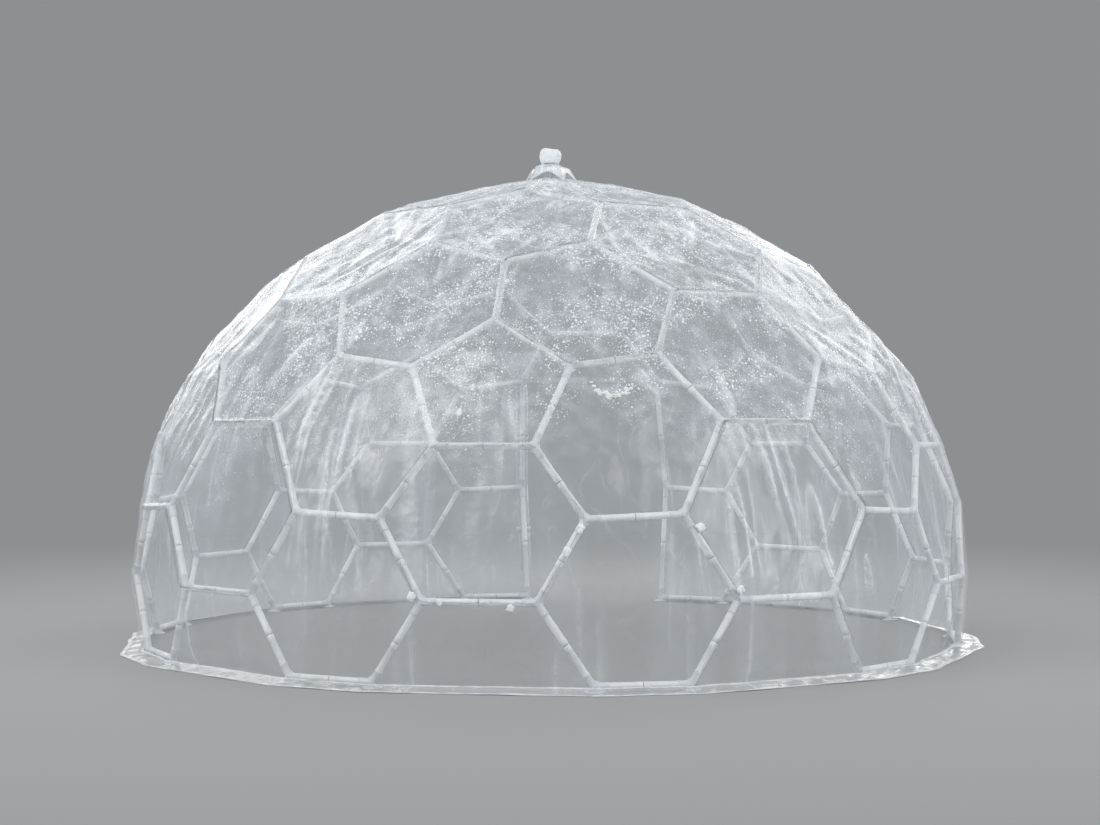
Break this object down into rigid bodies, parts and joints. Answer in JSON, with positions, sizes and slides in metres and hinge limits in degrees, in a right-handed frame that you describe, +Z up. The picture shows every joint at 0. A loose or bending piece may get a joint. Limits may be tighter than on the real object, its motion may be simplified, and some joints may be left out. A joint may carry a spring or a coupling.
{
  "type": "geodesic dome",
  "caption": "Geodesic garden dome: straight white tubes in three-way hubs under a clear film cover, with an open doorway, a crown vent cap and a ground hem.",
  "frame": {"origin": "on the ground, midway across the hem's box, under the crown", "axes": "+Z up; -Y is the front, a pentagon over a hexagon; the doorway faces +Y"},
  "size_m": [3.7148, 3.6446, 2.1605],
  "materials": {
    "frame_tube": "white rigid plastic tube",
    "frame_hub": "white moulded plastic",
    "cover_film": "clear soft plastic film, misted and frosted",
    "hem_band": "white welded plastic band"
  },
  "bodies": {
    "root": {"crown_tubes": "frame_tube", "upper_tubes": "frame_tube", "shoulder_tubes": "frame_tube", "middle_tubes": "frame_tube", "lower_tubes": "frame_tube", "foot_tubes": "frame_tube", "base_tubes": "frame_tube", "door_posts": "frame_tube", "crown_hubs": "frame_hub", "upper_hubs": "frame_hub", "shoulder_hubs": "frame_hub", "middle_hubs": "frame_hub", "lower_hubs": "frame_hub", "foot_hubs": "frame_hub", "ground_hubs": "frame_hub", "crown_film": "cover_film", "upper_film": "cover_film", "shoulder_film": "cover_film", "middle_film": "cover_film", "lower_film": "cover_film", "foot_film": "cover_film", "hem_skirt": "hem_band", "door_roll": "cover_film", "door_ties": "hem_band", "vent_cap": "cover_film"}
  },
  "joints": []
}
